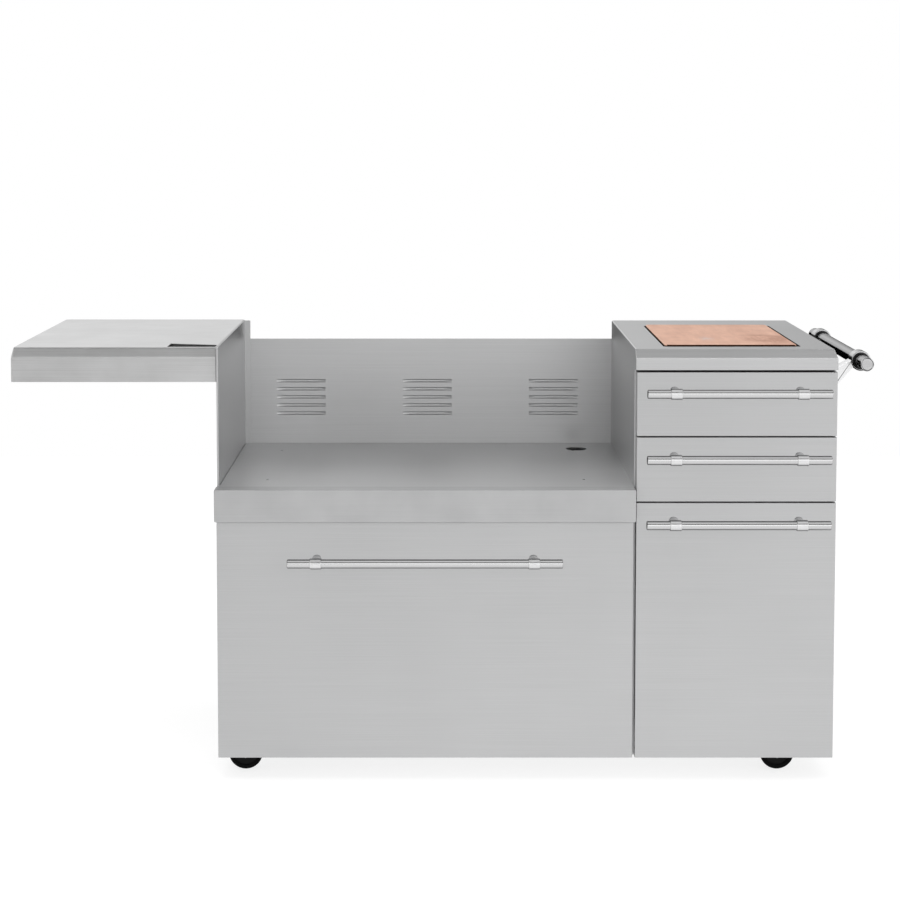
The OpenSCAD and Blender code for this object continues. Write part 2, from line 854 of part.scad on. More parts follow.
front_right_tyre();
front_right_brake();
rear_left_fork();
rear_left_wheel();
rear_left_tyre();
rear_right_fork();
rear_right_wheel();
rear_right_tyre();
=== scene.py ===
import math
import bpy
import numpy as np
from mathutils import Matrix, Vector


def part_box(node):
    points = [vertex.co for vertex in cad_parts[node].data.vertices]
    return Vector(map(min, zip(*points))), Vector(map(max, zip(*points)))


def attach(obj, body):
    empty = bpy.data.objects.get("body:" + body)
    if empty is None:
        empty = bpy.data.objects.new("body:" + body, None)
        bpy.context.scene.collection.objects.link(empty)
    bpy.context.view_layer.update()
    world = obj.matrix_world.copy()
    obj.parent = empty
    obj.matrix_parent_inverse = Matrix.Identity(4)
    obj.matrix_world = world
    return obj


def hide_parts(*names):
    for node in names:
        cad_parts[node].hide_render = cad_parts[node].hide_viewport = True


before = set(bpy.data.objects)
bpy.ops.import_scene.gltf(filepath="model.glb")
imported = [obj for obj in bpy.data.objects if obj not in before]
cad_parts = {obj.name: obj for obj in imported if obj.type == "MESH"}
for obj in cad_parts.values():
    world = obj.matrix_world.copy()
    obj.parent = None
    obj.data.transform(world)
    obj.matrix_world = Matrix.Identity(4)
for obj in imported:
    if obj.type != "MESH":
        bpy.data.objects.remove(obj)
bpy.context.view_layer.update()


# Camera: stands a little right of the middle, well above the counter, and looks slightly down.
# The view's own shift does the rest, so that upright edges stay nearly upright.
camera_place = (0.0009, -4.678, 1.4337)
camera_down = math.radians(4.17)
camera_data = bpy.data.cameras.new("camera")
camera_data.sensor_width = 36.0
camera_data.lens = 81.94
camera_data.shift_x = 0.0056
camera_data.shift_y = -0.2
camera = bpy.data.objects.new("camera", camera_data)
camera.location = camera_place
camera.rotation_euler = (math.pi / 2 - camera_down, 0.0, 0.0)
bpy.context.collection.objects.link(camera)
bpy.context.scene.camera = camera
bpy.context.scene.view_settings.view_transform = "Standard"


# Floor and studio: a white floor that keeps a pale shadow, in a white room that the metal mirrors.
# The front wall has a bright band with a dark one above it, and each wall has a darker strip to one
# side, which give the steel its lights and darks. Two soft lamps light what isn't metal.
def joined(tree, out_socket, in_socket):
    """Joins one node's output to another's input."""
    tree.links.new(out_socket, in_socket)


def pale_rays(tree):
    """1 for camera, glossy and transmission rays, from the larger of the three."""
    path = tree.nodes.new("ShaderNodeLightPath")
    first = tree.nodes.new("ShaderNodeMath")
    first.operation = "MAXIMUM"
    second = tree.nodes.new("ShaderNodeMath")
    second.operation = "MAXIMUM"
    joined(tree, path.outputs["Is Camera Ray"], first.inputs[0])
    joined(tree, path.outputs["Is Glossy Ray"], first.inputs[1])
    joined(tree, first.outputs[0], second.inputs[0])
    joined(tree, path.outputs["Is Transmission Ray"], second.inputs[1])
    return second.outputs[0]


floor_half = 4.0
floor_shade = 0.36
floor_glow = 0.78
floor_mesh = bpy.data.meshes.new("floor")
floor_corners = [(-floor_half, -floor_half, 0.0), (floor_half, -floor_half, 0.0),
                 (floor_half, floor_half, 0.0), (-floor_half, floor_half, 0.0)]
floor_mesh.from_pydata(floor_corners, [], [(0, 1, 2, 3)])
floor = bpy.data.objects.new("floor", floor_mesh)
bpy.context.collection.objects.link(floor)
floor_paint = bpy.data.materials.new("white_floor")
floor_paint.use_nodes = True
tree = floor_paint.node_tree
paint = tree.nodes["Principled BSDF"]
paint.inputs["Base Color"].default_value = (floor_shade, floor_shade, floor_shade, 1.0)
paint.inputs["Roughness"].default_value = 1.0
paint.inputs["Specular IOR Level"].default_value = 0.0
paint.inputs["Emission Color"].default_value = (1.0, 1.0, 1.0, 1.0)
glow = tree.nodes.new("ShaderNodeMath")
glow.operation = "MULTIPLY"
glow.inputs[1].default_value = floor_glow
joined(tree, pale_rays(tree), glow.inputs[0])
joined(tree, glow.outputs[0], paint.inputs["Emission Strength"])
floor_mesh.materials.append(floor_paint)

room = bpy.data.worlds.new("white_room")
room.use_nodes = True
bpy.context.scene.world = room
tree = room.node_tree
backdrop = tree.nodes["Background"]
toward = tree.nodes.new("ShaderNodeTexCoord")
parts = tree.nodes.new("ShaderNodeSeparateXYZ")
joined(tree, toward.outputs["Generated"], parts.inputs[0])


def laid_out(tree, value, low, high, out_low, out_high):
    """A value between low and high, laid out between out_low and out_high and kept inside them."""
    node = tree.nodes.new("ShaderNodeMapRange")
    node.inputs["From Min"].default_value = low
    node.inputs["From Max"].default_value = high
    node.inputs["To Min"].default_value = out_low
    node.inputs["To Max"].default_value = out_high
    joined(tree, value, node.inputs["Value"])
    return node.outputs[0]


def levels(axis, steps_wanted):
    """Grey levels of the room by one part of the direction looked in, each step a part and its
    level: Z is the sine of the height above the horizon, X the part to the right."""
    ramp = tree.nodes.new("ShaderNodeValToRGB")
    steps = ramp.color_ramp.elements
    while len(steps) < len(steps_wanted):
        steps.new(0.5)
    for step, (part, level) in zip(steps, steps_wanted):
        step.position = (part + 1.0) / 2.0
        step.color = (level, level, level, 1.0)
    joined(tree, laid_out(tree, parts.outputs[axis], -1.0, 1.0, 0.0, 1.0), ramp.inputs[0])
    return ramp.outputs["Color"]


def mixed(tree, factor, first, second, way="MIX"):
    """Two colours mixed, or multiplied, by a factor from 0 to 1."""
    node = tree.nodes.new("ShaderNodeMix")
    node.data_type = "RGBA"
    node.blend_type = way
    for socket, colour in (("Factor", factor), ("A", first), ("B", second)):
        if isinstance(colour, tuple):
            node.inputs[socket].default_value = colour + (1.0,)
        elif isinstance(colour, float):
            node.inputs[socket].default_value = colour
        else:
            joined(tree, colour, node.inputs[socket])
    return node.outputs["Result"]


front_wall = levels("Z", [(-1.0, 1.0), (0.0, 0.98), (0.10, 1.01), (0.22, 1.75), (0.42, 1.75),
                          (0.54, 0.15), (0.74, 0.12), (0.86, 0.94), (1.0, 0.94)])
front_sides = levels("X", [(-1.0, 0.85), (-0.55, 0.85), (-0.42, 0.20), (-0.26, 0.20), (-0.08, 1.04),
                           (1.0, 1.04)])
front_shade = mixed(tree, 1.0, front_wall, front_sides, "MULTIPLY")
back_wall = levels("Z", [(-1.0, 0.03), (0.03, 0.03), (0.05, 0.75), (0.16, 0.79), (0.28, 1.21),
                         (0.60, 1.21), (0.80, 0.86), (1.0, 0.86)])
back_sides = levels("X", [(-1.0, 0.9), (-0.40, 1.08), (-0.10, 1.08), (0.25, 0.43), (0.38, 0.43),
                          (0.55, 0.9), (1.0, 0.9)])
back_shade = mixed(tree, 1.0, back_wall, back_sides, "MULTIPLY")
behind = laid_out(tree, parts.outputs["Y"], 0.0, 0.5, 0.0, 1.0)
room_shade = mixed(tree, behind, front_shade, back_shade)
seen = tree.nodes.new("ShaderNodeLightPath")
white = (1.0, 1.0, 1.0)
joined(tree, mixed(tree, seen.outputs["Is Camera Ray"], room_shade, white), backdrop.inputs["Color"])


def soft_lamp(name, place, aim, size, watts):
    """A square area lamp at a place, turned to shine at a point, that metal doesn't mirror."""
    data = bpy.data.lights.new(name, "AREA")
    data.shape = "SQUARE"
    data.size = size
    data.energy = watts
    data.specular_factor = 0.0
    lamp = bpy.data.objects.new(name, data)
    gap = np.array(aim) - np.array(place)
    flat = math.hypot(gap[0], gap[1])
    lamp.location = place
    lamp.rotation_euler = (math.atan2(flat, -gap[2]), 0.0, math.atan2(gap[1], gap[0]) - math.pi / 2)
    lamp.visible_glossy = False
    bpy.context.collection.objects.link(lamp)


overhead_place = (-0.6, -1.2, 3.4)
overhead_aim = (0.0, 0.0, 0.6)
overhead_size = 2.4
overhead_watts = 26.0
front_place = (1.6, -3.6, 2.6)
front_aim = (0.0, 0.0, 0.5)
front_size = 2.0
front_watts = 24.0
soft_lamp("lamp_overhead", overhead_place, overhead_aim, overhead_size, overhead_watts)
soft_lamp("lamp_front", front_place, front_aim, front_size, front_watts)


# Base frame and floor panel: folded steel channels, open at the top, under one flat sheet.
# They keep the shape they have in the frame and get the brushed steel finish.
def grain_group():
    """Lines and cloudy marks. Noise at the point times a stretch per axis draws lines along the
    axis that is stretched least; a coarse noise at the plain point gives the marks."""
    group = bpy.data.node_groups.new("grain_and_marks", "ShaderNodeTree")
    group.interface.new_socket("Vector", in_out="INPUT", socket_type="NodeSocketVector")
    group.interface.new_socket("Stretch", in_out="INPUT", socket_type="NodeSocketVector")
    group.interface.new_socket("Marks Scale", in_out="INPUT", socket_type="NodeSocketFloat")
    group.interface.new_socket("Grain", in_out="OUTPUT", socket_type="NodeSocketFloat")
    group.interface.new_socket("Marks", in_out="OUTPUT", socket_type="NodeSocketFloat")
    entry = group.nodes.new("NodeGroupInput")
    leave = group.nodes.new("NodeGroupOutput")
    stretch = group.nodes.new("ShaderNodeVectorMath")
    stretch.operation = "MULTIPLY"
    lines = group.nodes.new("ShaderNodeTexNoise")
    lines.inputs["Scale"].default_value = 1.0
    lines.inputs["Detail"].default_value = 4.0
    lines.inputs["Roughness"].default_value = 0.65
    marks = group.nodes.new("ShaderNodeTexNoise")
    marks.inputs["Detail"].default_value = 3.0
    marks.inputs["Roughness"].default_value = 0.55
    joined(group, entry.outputs["Vector"], stretch.inputs[0])
    joined(group, entry.outputs["Stretch"], stretch.inputs[1])
    joined(group, stretch.outputs[0], lines.inputs["Vector"])
    joined(group, entry.outputs["Vector"], marks.inputs["Vector"])
    joined(group, entry.outputs["Marks Scale"], marks.inputs["Scale"])
    joined(group, lines.outputs["Fac"], leave.inputs["Grain"])
    joined(group, marks.outputs["Fac"], leave.inputs["Marks"])
    return group


grain = grain_group()
noise_low = 0.3
noise_high = 0.7
grain_deep = 0.0002


def finish(name, stretch, marks_scale, dark, light, rough, metal, bump, cloud=0.4, shine=0.5, rim=1.0):
    """A worked surface: colour from dark to light by grain and marks, the marks having the share
    given as cloud, roughness that varies the same way, and a fine bump from the grain. Metal whose
    rim is below 1 is darker where it turns away."""
    made = bpy.data.materials.new(name)
    made.use_nodes = True
    tree = made.node_tree
    shader = tree.nodes["Principled BSDF"]
    shader.inputs["Metallic"].default_value = metal
    shader.inputs["Specular IOR Level"].default_value = shine
    shader.inputs["Specular Tint"].default_value = (rim, rim, rim, 1.0)
    place = tree.nodes.new("ShaderNodeTexCoord")
    pattern = tree.nodes.new("ShaderNodeGroup")
    pattern.node_tree = grain
    pattern.inputs["Stretch"].default_value = stretch
    pattern.inputs["Marks Scale"].default_value = marks_scale
    joined(tree, place.outputs["Object"], pattern.inputs["Vector"])
    lines = laid_out(tree, pattern.outputs["Grain"], noise_low, noise_high, 0.0, 1.0)
    marks = laid_out(tree, pattern.outputs["Marks"], noise_low, noise_high, 0.0, 1.0)
    both = tree.nodes.new("ShaderNodeMath")
    both.operation = "MULTIPLY_ADD"
    both.inputs[1].default_value = 1.0 - cloud
    joined(tree, lines, both.inputs[0])
    joined(tree, laid_out(tree, marks, 0.0, 1.0, 0.0, cloud), both.inputs[2])
    joined(tree, mixed(tree, both.outputs[0], dark, light), shader.inputs["Base Color"])
    joined(tree, laid_out(tree, both.outputs[0], 0.0, 1.0, rough[0], rough[1]), shader.inputs["Roughness"])
    relief = tree.nodes.new("ShaderNodeBump")
    relief.inputs["Strength"].default_value = bump
    relief.inputs["Distance"].default_value = grain_deep
    joined(tree, pattern.outputs["Grain"], relief.inputs["Height"])
    joined(tree, relief.outputs[0], shader.inputs["Normal"])
    return made


steel_dark = (0.508, 0.510, 0.513)
steel_light = (0.604, 0.606, 0.609)
steel_rough = (0.38, 0.44)
along_x = (3.0, 900.0, 900.0)
along_z = (900.0, 900.0, 3.0)
satin_rough = (0.50, 0.58)
wide_marks = 2.2
small_marks = 9.0
brushed = 0.06
steel_satin = finish("steel_satin", along_x, wide_marks, steel_dark, steel_light, satin_rough, 1.0, brushed)
steel_across = finish("steel_across", along_x, wide_marks, steel_dark, steel_light, steel_rough, 1.0,
                      brushed)
steel_upright = finish("steel_upright", along_z, wide_marks, steel_dark, steel_light, steel_rough, 1.0,
                       brushed)


def refinish(node, material):
    """Gives a node of the frame one material in all its slots."""
    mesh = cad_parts[node].data
    mesh.materials.clear()
    mesh.materials.append(material)


refinish("base_frame", steel_across)
refinish("floor_panel", steel_across)


# Side panels and divider: upright sheets, doubled into a hem along the front edge and turned in
# along the back edge. The back panel is one sheet with pressed louvres over its vent slots.
def skin(rings, cap_first=True, cap_last=True, loop=False):
    """Rows of points, each row a closed ring. Quads join each ring to the next, and a flat face
    may close the first and the last ring, or the last ring meets the first. If the signed volume
    is negative, every face is turned over."""
    rows, count = rings.shape[:2]
    grid = np.arange(rows * count).reshape(rows, count)
    upper = np.roll(grid, -1, axis=0) if loop else grid[1:]
    lower = grid if loop else grid[:-1]
    quads = np.stack([lower, np.roll(lower, -1, 1), np.roll(upper, -1, 1), upper], -1).reshape(-1, 4)
    faces = quads.tolist()
    if cap_first and not loop:
        faces.append(grid[0][::-1].tolist())
    if cap_last and not loop:
        faces.append(grid[-1].tolist())
    points = rings.reshape(-1, 3)
    middle = points.mean(0)
    corner = points[quads] - middle
    twice = np.cross(corner[:, 2] - corner[:, 0], corner[:, 3] - corner[:, 1])
    volume = (corner.mean(1) * twice).sum()
    for face in faces[len(quads):]:
        fan = points[face] - middle
        volume += (fan[0] * np.cross(fan[1:-1] - fan[0], fan[2:] - fan[0]).sum(0)).sum()
    if volume < 0:
        faces = [face[::-1] for face in faces]
    return points, faces


def piece(name, skins, material, body, replaced=(), sharp=40.0):
    """Joins skins into one mesh object that rides on a body and stands for nodes of the frame."""
    starts = np.cumsum([0] + [len(points) for points, faces in skins])
    points = np.concatenate([points for points, faces in skins])
    faces = [[int(start) + corner for corner in face]
             for start, (own, own_faces) in zip(starts, skins) for face in own_faces]
    mesh = bpy.data.meshes.new(name)
    mesh.from_pydata(points.tolist(), [], faces)
    mesh.polygons.foreach_set("use_smooth", np.ones(len(faces), bool))
    mesh.set_sharp_from_angle(angle=math.radians(sharp))
    mesh.materials.append(material)
    made = bpy.data.objects.new(name, mesh)
    bpy.context.collection.objects.link(made)
    even = made.modifiers.new("even_faces", "WEIGHTED_NORMAL")
    even.keep_sharp = True
    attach(made, body)
    if replaced:
        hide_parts(*replaced)
    return made


most_cut = 0.45


def eased(points, setback, steps=3, closed=True):
    """A line of points with each corner cut back by a setback and joined by a curve: the mean of
    the corner and its two ends, weighted by the squares of the way along. Given as an array."""
    points = np.array(points, float)
    back = np.roll(points, 1, 0) - points
    ahead = np.roll(points, -1, 0) - points
    reach_back = np.linalg.norm(back, axis=1)
    reach_ahead = np.linalg.norm(ahead, axis=1)
    cut = np.minimum(setback, most_cut * np.minimum(reach_back, reach_ahead))
    start = points + back / reach_back[:, None] * cut[:, None]
    end = points + ahead / reach_ahead[:, None] * cut[:, None]
    way = np.linspace(0.0, 1.0, steps + 1)[None, :, None]
    curve = ((1 - way) ** 2 * start[:, None] + 2 * way * (1 - way) * points[:, None]
             + way ** 2 * end[:, None])
    if closed:
        return curve.reshape(-1, 2)
    inner = curve[1:-1].reshape(-1, 2)
    return np.concatenate([points[:1], inner, points[-1:]])


def inset(outline, depth):
    """A closed outline moved inwards by a depth, each point along the mean of its edges' normals."""
    edge = np.roll(outline, -1, 0) - outline
    edge = edge / np.linalg.norm(edge, axis=1)[:, None]
    ahead = np.stack([-edge[:, 1], edge[:, 0]], 1)
    back = np.roll(ahead, 1, 0)
    mean = ahead + back
    mean = mean / (mean * mean).sum(1)[:, None] * 2
    area = (outline[:, 0] * np.roll(outline[:, 1], -1) - outline[:, 1] * np.roll(outline[:, 0], -1)).sum()
    return outline + mean * depth * (1.0 if area > 0 else -1.0)


def turned(rings, axis):
    """Rings drawn in u, v and t, set out in x, y and z with t along the axis."""
    order = {"x": (2, 0, 1), "y": (0, 2, 1), "z": (0, 1, 2)}[axis]
    return rings[..., list(order)]


def drawn_out(outline, axis, start, end, ease):
    """A flat outline carried from start to end along an axis. Its two end faces are drawn in by
    the ease, and a quarter curve joins them to the sides."""
    turn = np.linspace(0.0, math.pi / 2, 3)
    depth = ease * (1 - np.sin(turn))
    along = ease * (1 - np.cos(turn))
    outlines = [inset(outline, value) for value in depth] + [inset(outline, value) for value in depth[::-1]]
    places = np.concatenate([start + along, end - along[::-1]])
    flat = np.stack(outlines)
    third = np.broadcast_to(places[:, None, None], flat.shape[:2] + (1,))
    return skin(turned(np.concatenate([flat, third], -1), axis))


sheet = 0.002
hem = 0.012
turn_in = 0.016
fold_ease = 0.0007
cut_ease = 0.0005


def upright_sheet(low, high, inward):
    """Outline seen from above: a web with a doubled front edge and a return at the back, inward
    being 1 or -1. It is carried up from foot to head."""
    outer = low.x if inward > 0 else high.x
    across = [0.0, 0.0, turn_in, turn_in, sheet, sheet, 2 * sheet, 2 * sheet]
    front, back = low.y, high.y
    along = [front, back, back, back - sheet, back - sheet, front + hem, front + hem, front]
    outline = np.stack([outer + inward * np.array(across), np.array(along)], 1)
    return drawn_out(eased(outline, fold_ease), "z", low.z, high.z, cut_ease)


for node, inward in (("left_side_panel", 1), ("right_side_panel", -1)):
    low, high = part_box(node)
    piece(node + "_sheet", [upright_sheet(low, high, inward)], steel_upright, "cabinet",
          [node])
divider_low, divider_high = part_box("divider_panel")
hem_foot = divider_low.z
divider_low.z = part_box("floor_panel")[1].z
hem_x = divider_low.x + 2 * sheet
hem_y = divider_low.y + hem
divider_hem = eased([(divider_low.x, divider_low.y), (hem_x, divider_low.y), (hem_x, hem_y),
                     (divider_low.x, hem_y)], fold_ease)
hem_strip = drawn_out(divider_hem, "z", hem_foot, divider_low.z, cut_ease)
piece("divider_panel_sheet", [upright_sheet(divider_low, divider_high, 1), hem_strip], steel_upright,
      "cabinet", ["divider_panel"])
refinish("back_panel", steel_across)
refinish("panel_screws", steel_across)

louvre_out = 0.006
louvre_tall = 0.014
louvre_wide = 0.128
louvre_inner = 0.82
louvre_least = 0.05
slot_tall = 0.008
slot_wide = 0.12
slot_pitch = 0.02
slots_each = 5
vent_columns = (0.08, 0.39, 0.70)
vent_rows = (0.162, 0.512, 0.712)
back_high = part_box("back_panel")[1]


def louvre(x_start, z_start):
    """A pressed hood over a slot: half an oval, with a smaller one inside it as its hollow. Its
    depth fades towards both ends, by one minus the eighth power of the way from the middle."""
    way = np.linspace(-1.0, 1.0, 17)
    fade = np.clip(1 - way ** 8, louvre_least, 1.0)
    turn = np.linspace(0.0, math.pi, 9)
    out = np.concatenate([np.sin(turn), louvre_inner * np.sin(turn[::-1])])
    rise = np.concatenate([np.cos(turn), louvre_inner * np.cos(turn[::-1])])
    x = x_start + louvre_wide / 2 * (1 + way) - (louvre_wide - slot_wide) / 2
    y = back_high.y + louvre_out * fade[:, None] * out[None, :]
    z = z_start + slot_tall / 2 + louvre_tall / 2 * rise[None, :] * np.ones_like(fade)[:, None]
    rings = np.stack([np.broadcast_to(x[:, None], y.shape), y, z], -1)
    return skin(rings)


vent_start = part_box("left_side_panel")[0].x
hoods = [louvre(vent_start + x, z + slot_pitch * i)
         for x in vent_columns for z in vent_rows for i in range(slots_each)]
piece("back_louvres", hoods, steel_across, "cabinet")


# Deck and its rails: two angles on the bay's walls carry a flat sheet with the fixing holes and the
# hole for the gas hose. They keep their shape and get the steel finish.
refinish("deck_rails", steel_across)
refinish("grill_deck", steel_across)


# Trim band below the bay: a shallow pan folded from one sheet, open at the back, with a lip that
# turns in under the deck. Its edges are softly folded.
def rounded_rows(rows, steps=3):
    """Rings of rounded rectangles. Each row gives low u, high u, low v, high v, corner radius and
    the place along the third axis; each corner is a quarter turn about its centre."""
    rows = np.array(rows, float)
    u0, u1, v0, v1, r, t = rows.T
    turn = (np.arange(4)[:, None] * math.pi / 2 + np.linspace(0.0, math.pi / 2, steps + 1)).ravel()
    mid_u = np.stack([u1 - r, u0 + r, u0 + r, u1 - r], 1).repeat(steps + 1, 1)
    mid_v = np.stack([v1 - r, v1 - r, v0 + r, v0 + r], 1).repeat(steps + 1, 1)
    u = mid_u + r[:, None] * np.cos(turn)
    v = mid_v + r[:, None] * np.sin(turn)
    return np.stack([u, v, np.broadcast_to(t[:, None], u.shape)], -1)


least_corner = 0.0004


def pan(low, high, axis, opening, wall, edge, corner):
    """A pan of sheet: a box whose side at the opening, 1 for the high end of the axis and -1 for
    the low end, is left out. A line of insets and depths goes from the middle of the inner floor,
    up the inner wall, over the lip, down the outer wall and round the fold to the outer floor."""
    u, v, t = {"x": (1, 2, 0), "y": (0, 2, 1), "z": (0, 1, 2)}[axis]
    closed, opened = (low[t], high[t]) if opening > 0 else (high[t], low[t])
    sign = 1.0 if opening > 0 else -1.0
    line = [(wall + edge, closed + sign * wall), (wall, closed + sign * wall), (wall, opened),
            (0.0, opened), (0.0, closed), (edge * 1.5, closed)]
    soft = eased(line, edge, closed=False)
    radius = np.maximum(corner - soft[:, 0], least_corner)
    rows = np.stack([low[u] + soft[:, 0], high[u] - soft[:, 0], low[v] + soft[:, 0],
                     high[v] - soft[:, 0], radius, soft[:, 1]], 1)
    return skin(turned(rounded_rows(rows), axis))


band_low, band_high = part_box("trim_band")
deck_low, deck_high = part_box("grill_deck")
touch = 0.0001
band_fold = 0.0022
band_corner = 0.003
lip_ease = 0.0006
case_y = deck_low.y - touch
band_pan = pan((band_low.x, band_low.y, band_low.z), (band_high.x, case_y, band_high.z),
               "y", 1, sheet, band_fold, band_corner)
lip = eased([(case_y - sheet, band_high.z - sheet), (case_y - sheet, deck_low.z - sheet),
             (band_high.y, deck_low.z - sheet), (band_high.y, deck_low.z), (case_y, deck_low.z),
             (case_y, band_high.z - sheet)], lip_ease)
band_lip = drawn_out(lip, "x", deck_low.x, deck_high.x, lip_ease / 2)
# The band's steel is darker than the other sheets': painted shade.
band_shade_dark = (0.452, 0.454, 0.458)
band_shade_light = (0.550, 0.552, 0.555)
band_rough = (0.44, 0.50)
band_cloud = 0.6
steel_band_shaded = finish("steel_band_shaded", along_x, small_marks, band_shade_dark, band_shade_light, band_rough, 1.0, brushed,
                    band_cloud)
piece("trim_band_pan", [band_pan, band_lip], steel_band_shaded, "cabinet", ["trim_band"])


# Side shelf: a thick plate with its front and outer end folded down in two bends, and a wedge cut
# in the top beside the bay. Two channels and a flat pan under it stay as they are in the frame.
rim_ease = 0.0006


def folded_top(low, high, slope, run, end_run, left_slope, wall, bend, corner, opening):
    """A sloped top: rings climb the outer walls, lean in over the slope by run at the front and by
    end_run at one end, and round off into the flat. The next rings are the opening's outline, and
    the last ones go back down inside by the wall. A side without a slope is only rounded."""
    x0, y0, z0 = low
    x1, y1, z1 = high
    out = eased([(0.0, z0), (0.0, z1 - slope), (run, z1), (run + 2 * bend, z1)], bend, 6, closed=False)
    quarter = np.linspace(0.0, math.pi / 2, 6)
    level = np.unique(np.concatenate([out[:, 1], z1 - bend * (1 - np.sin(quarter))]))
    climb = out[:-1]
    lean = np.interp(level, climb[:, 1], climb[:, 0])
    near = np.clip((level - (z1 - bend)) / bend, 0.0, 1.0)
    fold = bend * (1 - np.sqrt(np.maximum(1 - near ** 2, 0.0)))

    def sides(leans, folds, base, radius, place):
        ends = leans * (end_run / run)
        left, right = (ends, folds) if left_slope else (folds, ends)
        return np.stack([x0 + base + left, x1 - base - right, y0 + base + leans, y1 - base - folds,
                         radius + 0 * leans, place + 0 * leans], 1)

    outer = rounded_rows(sides(lean, fold, 0.0, corner, level), 4)
    shift = 0.3 * wall
    inner_level = np.array([z1 - wall, z1 - slope - shift, z0])
    inner_lean = np.array([run + shift, 0.0, 0.0])
    inner_corner = max(corner - wall, rim_ease)
    inner = rounded_rows(sides(inner_lean, 0 * inner_lean, wall, inner_corner, inner_level), 4)
    eases = np.array([(rim_ease, 0.0), (0.0, -rim_ease), (0.0, -wall)])
    holes = [rounded_opening(opening, ease, z1 + drop) for ease, drop in eases]
    rings = np.concatenate([outer, np.stack(holes), inner])
    return skin(rings, loop=True)


def rounded_opening(opening, grow, place):
    """Outline of an opening with four corners in turn, each rounded by its own quarter curve."""
    corners, radius = opening
    corners = np.array(corners, float)
    middle = corners.mean(0)
    corners = corners + np.sign(corners - middle) * grow
    back = np.roll(corners, 1, 0) - corners
    ahead = np.roll(corners, -1, 0) - corners
    start = corners + back / np.linalg.norm(back, axis=1)[:, None] * radius
    end = corners + ahead / np.linalg.norm(ahead, axis=1)[:, None] * radius
    way = np.linspace(0.0, 1.0, 5)[None, :, None]
    curve = ((1 - way) ** 2 * start[:, None] + 2 * way * (1 - way) * corners[:, None]
             + way ** 2 * end[:, None])
    flat = curve.reshape(-1, 2)
    return np.concatenate([flat, np.full((len(flat), 1), place)], 1)


plate = 0.0012
shelf_slope = 0.022
shelf_low, shelf_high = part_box("side_shelf")
shelf_run = 0.008
shelf_end_run = 0.0045
shelf_bend = 0.0035
shelf_corner = 0.004
notch_ease = 0.0008
notch_wide = 0.104
notch_near = 0.040
notch_far = 0.066
notch_from_end = 0.005
notch_from_front = 0.0155
notch_x1 = shelf_high.x - notch_from_end
notch_x0 = notch_x1 - notch_wide
notch_y = shelf_low.y + notch_from_front
notch = [(notch_x1, notch_y + notch_near), (notch_x0, notch_y + notch_far), (notch_x0, notch_y),
         (notch_x1, notch_y)]
shelf_plate = folded_top(tuple(shelf_low), tuple(shelf_high), shelf_slope, shelf_run, shelf_end_run, True,
                         plate, shelf_bend, shelf_corner, (notch, notch_ease))
# The shelf's steel has a wider range than the counter's and is lighter at its light end: wear marks, and
# painted light that brightens the shelf.
worn_dark = (0.490, 0.490, 0.488)
worn_and_lit_light = (0.672, 0.674, 0.677)
worn_cloud = 0.42
steel_worn_and_lit = finish("steel_worn_and_lit", along_x, small_marks, worn_dark, worn_and_lit_light, steel_rough, 1.0, brushed,
                    worn_cloud)
piece("side_shelf_plate", [shelf_plate], steel_worn_and_lit, "cabinet", ["side_shelf"])
refinish("shelf_arms", steel_across)
refinish("shelf_underpan", steel_across)


# Counter beside the bay: the same folded plate, narrower bends, sloped at the front and right end,
# with an opening for the board over a shallow tray. The tray and the opening's walls are near black,
# painted shade for the gap around the board.
counter_low, counter_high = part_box("counter_top")
board_low, board_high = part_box("cutting_board")
finger_gap = 0.0075
close_gap = 0.003
slope_tall = 0.020
counter_run = 0.008
counter_bend = 0.0025
counter_corner = 0.003
hole_corner = 0.008
end_trim = 0.0035
hole_left = board_low.x - close_gap
hole_right = board_high.x + finger_gap
hole_front = board_low.y - close_gap
hole_back = board_high.y + close_gap
hole = [(hole_right, hole_back), (hole_left, hole_back), (hole_left, hole_front),
        (hole_right, hole_front)]
counter_end = (counter_high.x - end_trim, counter_high.y, counter_high.z)
counter_plate = folded_top(tuple(counter_low), counter_end, slope_tall, counter_run, counter_run,
                           False, plate, counter_bend, counter_corner, (hole, hole_corner))
counter = piece("counter_plate", [counter_plate], steel_across, "cabinet", ["counter_top"])
all_ways = (300.0, 300.0, 300.0)
tray_marks = 20.0
# Near black: painted shade for the gap around the board, on the tray and the opening's walls.
gap_shade_dark = (0.006, 0.006, 0.006)
gap_shade_light = (0.016, 0.015, 0.015)
tray_rough = (0.5, 0.7)
matt_bump = 0.1
gap_shade_black = finish("gap_shade_black", all_ways, tray_marks, gap_shade_dark, gap_shade_light, tray_rough, 0.0, matt_bump)
refinish("board_tray", gap_shade_black)
counter.data.materials.append(gap_shade_black)
# Faces of the opening's walls take the near black: painted shade.
shaded_rim_reach = 0.0007
face_middles = np.array([face.center[:] for face in counter.data.polygons])
shaded_rim = ((face_middles[:, 0] > hole_left - shaded_rim_reach) & (face_middles[:, 0] < hole_right + shaded_rim_reach)
        & (face_middles[:, 1] > hole_front - shaded_rim_reach) & (face_middles[:, 1] < hole_back + shaded_rim_reach))
counter.data.polygons.foreach_set("material_index", shaded_rim.astype(np.int32))


